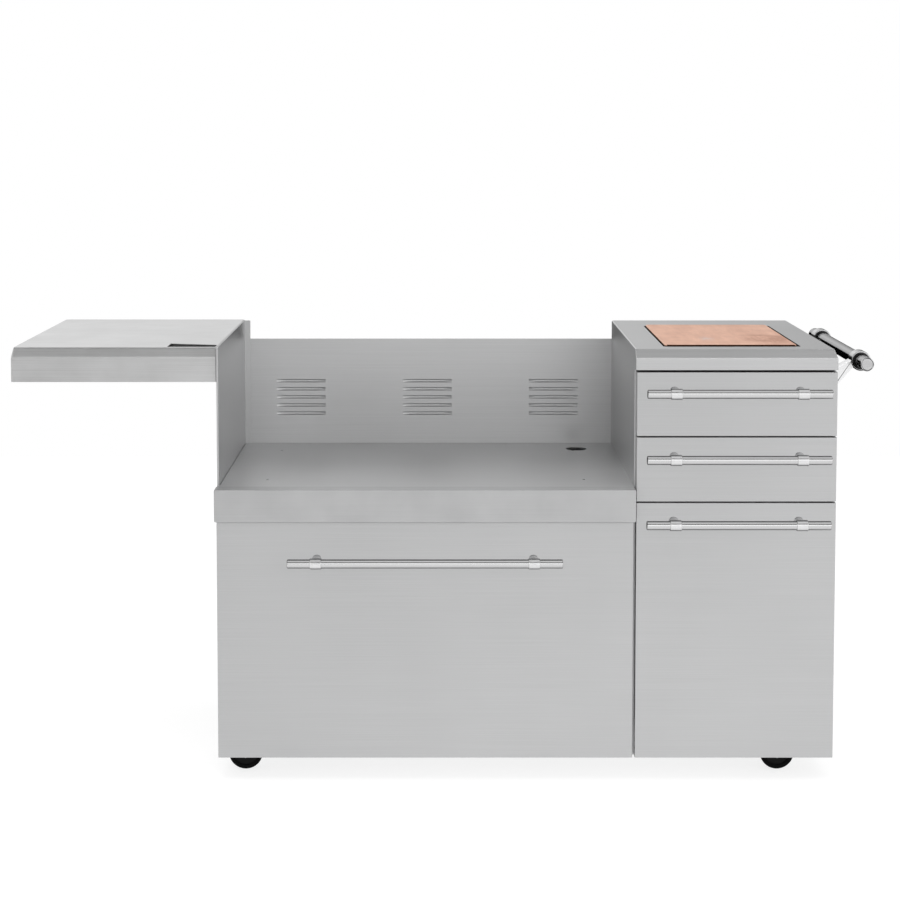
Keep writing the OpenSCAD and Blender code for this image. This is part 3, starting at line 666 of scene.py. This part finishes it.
# Cutting board: a solid slab of close-grained wood, its top rubbed smooth and edges rounded over.
# Its sides are near black, painted shade for the gap around it. It lies loose in the tray.
board_corner = 0.010
board_edge = 0.0032
board_flat = 0.03
board_least = 0.001
line = eased([(board_flat, board_low.z), (0.0, board_low.z), (0.0, board_high.z),
              (board_flat, board_high.z)], board_edge, 5, closed=False)
radius = np.maximum(board_corner - line[:, 0], board_least)
rows = np.stack([board_low.x + line[:, 0], board_high.x - line[:, 0], board_low.y + line[:, 0],
                 board_high.y - line[:, 0], radius, line[:, 1]], 1)
wood_marks = 16.0
wood_rough = (0.5, 0.65)
wood_grain = (60.0, 8.0, 200.0)
wood_dark = (0.615, 0.330, 0.226)
wood_light = (0.825, 0.508, 0.372)
stain_shift = (-0.086, 0.244, 0.0)
stain_grain = (160.0, 30.0, 160.0)
stain_size = 13.0
stain_most = 0.62
stain_brown = (0.36, 0.155, 0.09)
scraped_pale = (0.66, 0.53, 0.50)
wood = finish("board_wood", wood_grain, wood_marks, wood_dark, wood_light, wood_rough, 0.0, matt_bump)
tree = wood.node_tree
shader = tree.nodes["Principled BSDF"]
grained = shader.inputs["Base Color"].links[0].from_socket
place = tree.nodes.new("ShaderNodeTexCoord")
moved = tree.nodes.new("ShaderNodeMapping")
moved.inputs["Location"].default_value = stain_shift
stains = tree.nodes.new("ShaderNodeGroup")
stains.node_tree = grain
stains.inputs["Stretch"].default_value = stain_grain
stains.inputs["Marks Scale"].default_value = stain_size
joined(tree, place.outputs["Object"], moved.inputs["Vector"])
joined(tree, moved.outputs["Vector"], stains.inputs["Vector"])
streaks = laid_out(tree, stains.outputs["Grain"], 0.3, 0.6, 0.7, 1.0)
broken = mixed(tree, 1.0, stains.outputs["Marks"], streaks, "MULTIPLY")
share = laid_out(tree, broken, 0.30, 0.56, 0.0, stain_most)


spot_core = 0.3


def spot(tree, middle, reach):
    """1 in the core of an oval on the board, fading to 0 at its edge, by the length of the way
    from the oval's middle with each axis divided by its reach."""
    point = tree.nodes.new("ShaderNodeMapping")
    point.inputs["Location"].default_value = (-middle[0] / reach[0], -middle[1] / reach[1], 0.0)
    point.inputs["Scale"].default_value = (1.0 / reach[0], 1.0 / reach[1], 0.0)
    joined(tree, place.outputs["Object"], point.inputs["Vector"])
    length = tree.nodes.new("ShaderNodeVectorMath")
    length.operation = "LENGTH"
    joined(tree, point.outputs["Vector"], length.inputs[0])
    return laid_out(tree, length.outputs["Value"], spot_core, 1.0, 1.0, 0.0)


board_wide = board_high.x - board_low.x
board_deep = board_high.y - board_low.y
used = (board_low.x + 0.85 * board_wide, board_low.y + 0.30 * board_deep)
used_reach = (0.24 * board_wide, 0.26 * board_deep)
scraped = (board_low.x + 0.37 * board_wide, board_low.y + 0.28 * board_deep)
scraped_reach = (0.07 * board_wide, 0.12 * board_deep)
worn = laid_out(tree, spot(tree, used, used_reach), 0.0, 0.7, 0.18, 1.0)
share = mixed(tree, 1.0, share, worn, "MULTIPLY")
stained = mixed(tree, share, grained, stain_brown)
scratches = laid_out(tree, stains.outputs["Grain"], 0.35, 0.6, 0.1, 0.7)
pale = mixed(tree, 1.0, spot(tree, scraped, scraped_reach), scratches, "MULTIPLY")
joined(tree, mixed(tree, pale, stained, scraped_pale), shader.inputs["Base Color"])
# The sides are near black: painted shade for the gap around the board.
side_grain = (60.0, 60.0, 200.0)
side_marks = 14.0
side_shade_dark = (0.018, 0.008, 0.005)
side_shade_light = (0.05, 0.022, 0.013)
side_rough = (0.7, 0.8)
board_side_shade = finish("board_side_painted_shade", side_grain, side_marks, side_shade_dark, side_shade_light, side_rough, 0.0,
                   matt_bump, shine=0.05)
slab = piece("board_slab", [skin(rounded_rows(rows, 5))], wood, "board", ["cutting_board"])
slab.data.materials.append(board_side_shade)
# The painted shade on the sides starts this far below the top: close under it in front, lower at the other
# sides.
front_drop = 0.00008
end_drop = 0.0016
face_middles = np.array([face.center[:] for face in slab.data.polygons])
rim_drop = np.where(face_middles[:, 1] < board_low.y + board_edge, front_drop, end_drop)
shaded_side_faces = (face_middles[:, 2] < board_high.z - rim_drop).astype(np.int32)
slab.data.polygons.foreach_set("material_index", shaded_side_faces)


# Push handle: a polished tube closed by welded end discs, held by two heads whose wedge-shaped arms
# are bolted to the cabinet's side.
def lathed(line, axis, place, turns=64, cap=True, loop=False):
    """A line of radii and distances turned about an axis through a place."""
    line = np.array(line, float)
    turn = np.arange(turns) * 2 * math.pi / turns
    u = line[:, :1] * np.cos(turn)
    v = line[:, :1] * np.sin(turn)
    t = np.broadcast_to(line[:, 1:], u.shape)
    rings = turned(np.stack([u, v, t], -1), axis) + np.array(place)
    return skin(rings, cap, cap, loop)


bright_rough = (0.16, 0.22)
bright_dark = (0.78, 0.78, 0.785)
bright_light = (0.89, 0.89, 0.895)
head_dark = (0.50, 0.50, 0.505)
head_light = (0.58, 0.58, 0.585)
# The tube's steel is far darker than that of its heads and discs: painted shade.
tube_shade_dark = (0.23, 0.23, 0.235)
tube_shade_light = (0.27, 0.27, 0.275)
tube_rough = (0.10, 0.15)
along_y = (900.0, 20.0, 900.0)
buffed = 0.02
drawn = 0.03
polished = finish("polished_steel", all_ways, small_marks, bright_dark, bright_light, bright_rough, 1.0,
                  buffed)
head_steel = finish("head_steel", all_ways, small_marks, head_dark, head_light, bright_rough, 1.0, buffed)
tube_steel_shaded = finish("tube_steel_shaded", along_y, small_marks, tube_shade_dark, tube_shade_light, tube_rough, 1.0, drawn)
tube_low, tube_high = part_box("push_handle_tube")
tube_r = (tube_high.x - tube_low.x) / 2
tube_x = (tube_low.x + tube_high.x) / 2
tube_z = (tube_low.z + tube_high.z) / 2
tube_len = tube_high.y - tube_low.y
tube_hub = 0.3 * tube_r
tube_ease = 0.0006
cap_tall = 0.004
weld = 0.0005
disc_in = np.array([0.0034, 0.0026, 0.0020, 0.0012, 0.0003, 0.0])
disc_along = np.array([0.0004, 0.0010, 0.0003, 0.0, 0.0004, 0.0012])
disc = np.concatenate([[(tube_hub, 0.0002)], np.stack([tube_r - disc_in, disc_along], 1),
                       [(tube_r, cap_tall), (tube_hub, cap_tall)]])
far_disc = np.stack([disc[:, 0], tube_len - disc[:, 1]], 1)
tube_start = cap_tall + weld
tube_end = tube_len - tube_start
tube_line = np.array([(tube_hub, tube_start), (tube_r - tube_ease, tube_start),
                      (tube_r, tube_start + tube_ease), (tube_r, tube_end - tube_ease),
                      (tube_r - tube_ease, tube_end), (tube_hub, tube_end)])
tube_place = (tube_x, tube_low.y, tube_z)
piece("push_tube", [lathed(tube_line, "y", tube_place)], tube_steel_shaded, "cabinet",
      ["push_handle_tube"])
piece("push_tube_ends", [lathed(disc, "y", tube_place), lathed(far_disc, "y", tube_place)], head_steel,
      "cabinet")

arms_low, arms_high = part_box("push_handle_brackets")
head_r = arms_high.x - tube_x
head_len = 0.037
arm_places = (arms_low.y, arms_high.y - head_len)
arm_ease = 0.0015
arm_in = 0.001
side_x = arms_low.x
arm_foot = (tube_x - 0.0165, tube_z - 0.0135)
arm_head = (tube_x - 0.019, tube_z + 0.003)
arm_top = tube_z - 0.024
arm_outline = eased([(side_x, arms_low.z), arm_foot, arm_head, (side_x, arm_top)], arm_ease, 4)
head_ease = 0.0022
bush_thick = 0.0024
bush_r = tube_r + bush_thick
bush_bore = tube_r + touch
bush_sink = 0.0012
heads = []
arms = []
bushes = []
for start in arm_places:
    end = start + head_len
    ring = eased([(bush_r, start), (head_r, start), (head_r, end), (bush_r, end)], head_ease, 4)
    heads.append(lathed(ring, "y", (tube_x, 0.0, tube_z), cap=False, loop=True))
    arms.append(drawn_out(arm_outline, "y", start + arm_in, end - arm_in, arm_ease))
    liner = eased([(bush_bore, start + bush_sink), (bush_r, start + bush_sink), (bush_r, end - bush_sink),
                   (bush_bore, end - bush_sink)], cut_ease)
    bushes.append(lathed(liner, "y", (tube_x, 0.0, tube_z), cap=False, loop=True))
fine_pores = (500.0, 500.0, 500.0)
plastic_marks = 25.0
plastic_rough = (0.4, 0.55)
# The bushes are near black: painted shade for the gap between each head and the tube.
bush_shade_dark = (0.006, 0.006, 0.0065)
bush_shade_light = (0.014, 0.014, 0.015)
bush_shade = finish("bush_painted_shade", fine_pores, plastic_marks, bush_shade_dark, bush_shade_light, plastic_rough, 0.0,
               matt_bump)
piece("push_bushes", bushes, bush_shade, "cabinet")
piece("push_heads", heads, head_steel, "cabinet", ["push_handle_brackets"])
piece("push_arms", arms, polished, "cabinet")

# A black card of the studio's lies along the tube, below it, and only mirrored rays see it. It gives
# the tube its black band, and isn't part of the object.
card_mesh = bpy.data.meshes.new("black_card")
card_near = tube_low.y - 0.05
card_far = tube_high.y + 1.2
card_left = tube_x - 0.055
card_right = tube_x + 0.05
card_top = tube_z + 0.02
card_foot = tube_z - 0.09
card_corners = [(card_left, card_near, card_top), (card_right, card_near, card_foot),
                (card_right, card_far, card_foot), (card_left, card_far, card_top)]
card_mesh.from_pydata(card_corners, [], [(0, 1, 2, 3)])
card = bpy.data.objects.new("black_card", card_mesh)
bpy.context.scene.collection.objects.link(card)
card_black = bpy.data.materials.new("card_black")
card_black.use_nodes = True
tree = card_black.node_tree
tree.nodes.clear()
side = tree.nodes.new("ShaderNodeNewGeometry")
clear = tree.nodes.new("ShaderNodeBsdfTransparent")
matt = tree.nodes.new("ShaderNodeBsdfDiffuse")
card_shade = 0.002
matt.inputs["Color"].default_value = (card_shade, card_shade, card_shade, 1.0)
either = tree.nodes.new("ShaderNodeMixShader")
shown = tree.nodes.new("ShaderNodeOutputMaterial")
joined(tree, side.outputs["Backfacing"], either.inputs[0])
joined(tree, matt.outputs["BSDF"], either.inputs[1])
joined(tree, clear.outputs["BSDF"], either.inputs[2])
joined(tree, either.outputs["Shader"], shown.inputs["Surface"])
card_mesh.materials.append(card_black)
for ray in ("camera", "diffuse", "transmission", "volume_scatter", "shadow"):
    setattr(card, "visible_" + ray, False)


# Drawer fronts and the large front: each is a double skin folded from one sheet, open along its
# lower edge, with crisp folds and a satin grain that runs across. The middle and deep fronts end a
# millimetre low, which widens the gap above each.
fronts = ("top_drawer", "middle_drawer", "deep_drawer", "tank_drawer")
front_wall_thick = 0.0015
front_fold = 0.0014
front_corner = 0.0018
gap_trim = 0.0011
for front in fronts:
    low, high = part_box(front + "_front")
    if front in ("middle_drawer", "deep_drawer"):
        high.z -= gap_trim
    shell = pan(tuple(low), tuple(high), "z", -1, front_wall_thick, front_fold, front_corner)
    piece(front + "_panel", [shell], steel_satin, front, [front + "_front"])


# Drawer boxes, the tank tray and its hoop: thin sheet boxes with rounded corners, open at the top,
# and a rolled hoop that steadies a gas cylinder.
box_wall = 0.0015
box_fold = 0.0012
box_corner = 0.003
for node, body in (("top_drawer_box", "top_drawer"), ("middle_drawer_box", "middle_drawer"),
                   ("deep_drawer_box", "deep_drawer"), ("tank_tray", "tank_drawer")):
    low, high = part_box(node)
    tub = pan(tuple(low), tuple(high), "z", 1, box_wall, box_fold, box_corner)
    piece(node + "_tub", [tub], steel_upright, body, [node])
hoop_low, hoop_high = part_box("tank_hoop")
hoop_r = (hoop_high.x - hoop_low.x) / 2
hoop_wall = 0.003
hoop_ease = 0.0012
hoop_ring = eased([(hoop_r - hoop_wall, hoop_low.z), (hoop_r, hoop_low.z), (hoop_r, hoop_high.z),
                   (hoop_r - hoop_wall, hoop_high.z)], hoop_ease)
hoop_place = ((hoop_low.x + hoop_high.x) / 2, (hoop_low.y + hoop_high.y) / 2, 0.0)
hoop = lathed(hoop_ring, "z", hoop_place, 96, cap=False, loop=True)
piece("tank_hoop_band", [hoop], polished, "tank_drawer", ["tank_hoop"])


# Bar handles: a solid round bar with eased ends through two collars, each on a stem with a round
# foot that is screwed on from behind.
end_in = np.array([0.0012, 0.0005, 0.0001])
end_along = np.array([0.0, 0.0002, 0.0008])
plain_start = 0.0014
plain_end = 0.0013


def knurled(inner, outer, length, place, teeth=34, pitch=0.0018, depth=0.0003):
    """A sleeve along x whose outside is cut by two sets of crossing grooves. With a triangle wave
    of the turn plus the way along, and one of the turn minus it, the radius is lowered by depth
    times one minus the smaller wave. The ends are eased and the bore is plain."""
    turn = np.arange(teeth * 4) * 2 * math.pi / (teeth * 4)
    ease = np.concatenate([[(inner, 0.0)], np.stack([outer - end_in, end_along], 1)])
    along = np.arange(plain_start, length - plain_end, pitch / 4)
    body = np.stack([np.full(len(along), outer), along], 1)
    line = np.concatenate([ease, body, np.stack([ease[::-1, 0], length - ease[::-1, 1]], 1)])
    way = line[:, 1:] / pitch
    first = np.abs(((teeth * turn / (2 * math.pi) + way) % 1.0) * 2 - 1)
    second = np.abs(((teeth * turn / (2 * math.pi) - way) % 1.0) * 2 - 1)
    cut = depth * (1 - np.minimum(first, second))
    cut = cut * (line[:, :1] >= outer)
    radius = line[:, :1] - cut
    x = np.broadcast_to(line[:, 1:] - length / 2, radius.shape)
    rings = np.stack([x, radius * np.cos(turn), radius * np.sin(turn)], -1) + np.array(place)
    return skin(rings, loop=True)


bar_dark = (0.87, 0.87, 0.875)
bar_light = (0.95, 0.95, 0.955)
collar_rough = (0.26, 0.32)
bar_rough = (0.15, 0.19)
bar_grain = (20.0, 900.0, 900.0)
collar_steel = finish("collar_steel", all_ways, small_marks, bar_dark, bar_light, collar_rough, 1.0, buffed,
                      rim=0.1)
bar_steel = finish("bar_steel", bar_grain, small_marks, bar_dark, bar_light, bar_rough, 1.0, drawn, rim=0.1)
# A clear tinted coat that doesn't bend light darkens the round metal towards its outlines, as does the rim
# of 0.1: painted shade.
for metal, depth in ((bar_steel, 0.66), (collar_steel, 0.80)):
    own = metal.node_tree.nodes["Principled BSDF"].inputs
    own["Coat Weight"].default_value = 1.0
    own["Coat IOR"].default_value = 1.0
    own["Coat Tint"].default_value = (depth, depth, depth, 1.0)
collar_len = 0.024
collar_r = 0.0115
stem_r = 0.0093
stem_start = 0.009
foot_r = 0.0105
foot_tall = 0.0015
foot_ease = 0.0004
rod_in = np.array([0.0016, 0.0006, 0.0])
rod_along = np.array([0.0, 0.0004, 0.0016])
for front in fronts:
    low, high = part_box(front + "_bar")
    bar_r = (high.z - low.z) / 2
    middle_z = (low.z + high.z) / 2
    middle_y = (low.y + high.y) / 2
    length = high.x - low.x
    bar = np.concatenate([[(0.4 * bar_r, 0.0)], np.stack([bar_r - rod_in, rod_along], 1)])
    other = np.stack([bar[::-1, 0], length - bar[::-1, 1]], 1)
    rod_skin = lathed(np.concatenate([bar, other]), "x", (low.x, middle_y, middle_z))
    rod = piece(front + "_rod", [rod_skin], bar_steel, front, [front + "_bar"])
    rod.visible_glossy = False
    post_low, post_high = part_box(front + "_posts")
    reach = post_high.y - middle_y
    foot_start = reach - foot_tall
    stem = [(0.5 * stem_r, stem_start), (stem_r, stem_start), (stem_r, foot_start - 0.003),
            (stem_r + foot_ease, foot_start - 0.0006), (foot_r - foot_ease, foot_start),
            (foot_r, foot_start + foot_ease), (foot_r, reach), (0.5 * foot_r, reach)]
    skins = []
    for x in (post_low.x + collar_len / 2, post_high.x - collar_len / 2):
        skins.append(knurled(bar_r + touch, collar_r, collar_len, (x, middle_y, middle_z)))
        skins.append(lathed(stem, "y", (x, middle_y, middle_z), 48))
    brackets = piece(front + "_brackets", skins, collar_steel, front, [front + "_posts"])
    brackets.visible_glossy = False
    brackets.data.materials.append(head_steel)
    backs = np.array([face.center.y for face in brackets.data.polygons]) > middle_y + collar_r
    brackets.data.polygons.foreach_set("material_index", backs.astype(np.int32))


# Slides: zinc-plated telescopic members, one inside another, with their webs on the cabinet's walls
# and the drawers' sides. They keep their shape.
zinc_dark = (0.40, 0.41, 0.42)
zinc_light = (0.56, 0.57, 0.58)
zinc_rough = (0.28, 0.42)
zinc_spangle = (140.0, 140.0, 140.0)
zinc_marks = 30.0
zinc_bump = 0.05
zinc = finish("zinc_plate", zinc_spangle, zinc_marks, zinc_dark, zinc_light, zinc_rough, 1.0, zinc_bump)
for node in ("slide_channels", "top_slide_middles", "middle_slide_middles", "deep_slide_middles",
             "tank_slide_middles", "top_drawer_runners", "middle_drawer_runners", "deep_drawer_runners",
             "tank_drawer_runners"):
    refinish(node, zinc)


# Casters: a plated plate, fork and axle carry a black core with a black rubber tyre, and the front
# pair have a moulded brake pedal.
rubber_dark = (0.002, 0.002, 0.002)
rubber_light = (0.007, 0.007, 0.007)
rubber_rough = (0.6, 0.8)
rubber_marks = 40.0
rubber_bump = 0.2
rubber = finish("tyre_rubber", all_ways, rubber_marks, rubber_dark, rubber_light, rubber_rough, 0.0,
                rubber_bump, cloud=0.5, shine=0.08)
moulded_dark = (0.003, 0.003, 0.003)
moulded_light = (0.009, 0.009, 0.0095)
moulded = finish("moulded_black", fine_pores, plastic_marks, moulded_dark, moulded_light, plastic_rough,
                 0.0, matt_bump, cloud=0.5, shine=0.12)
refinish("caster_plates", zinc)
refinish("caster_bolts", zinc)
for corner_name in ("front_left", "front_right", "rear_left", "rear_right"):
    refinish(corner_name + "_fork", zinc)
    refinish(corner_name + "_wheel", moulded)
    refinish(corner_name + "_tyre", rubber)
    if corner_name.startswith("front"):
        refinish(corner_name + "_brake", moulded)
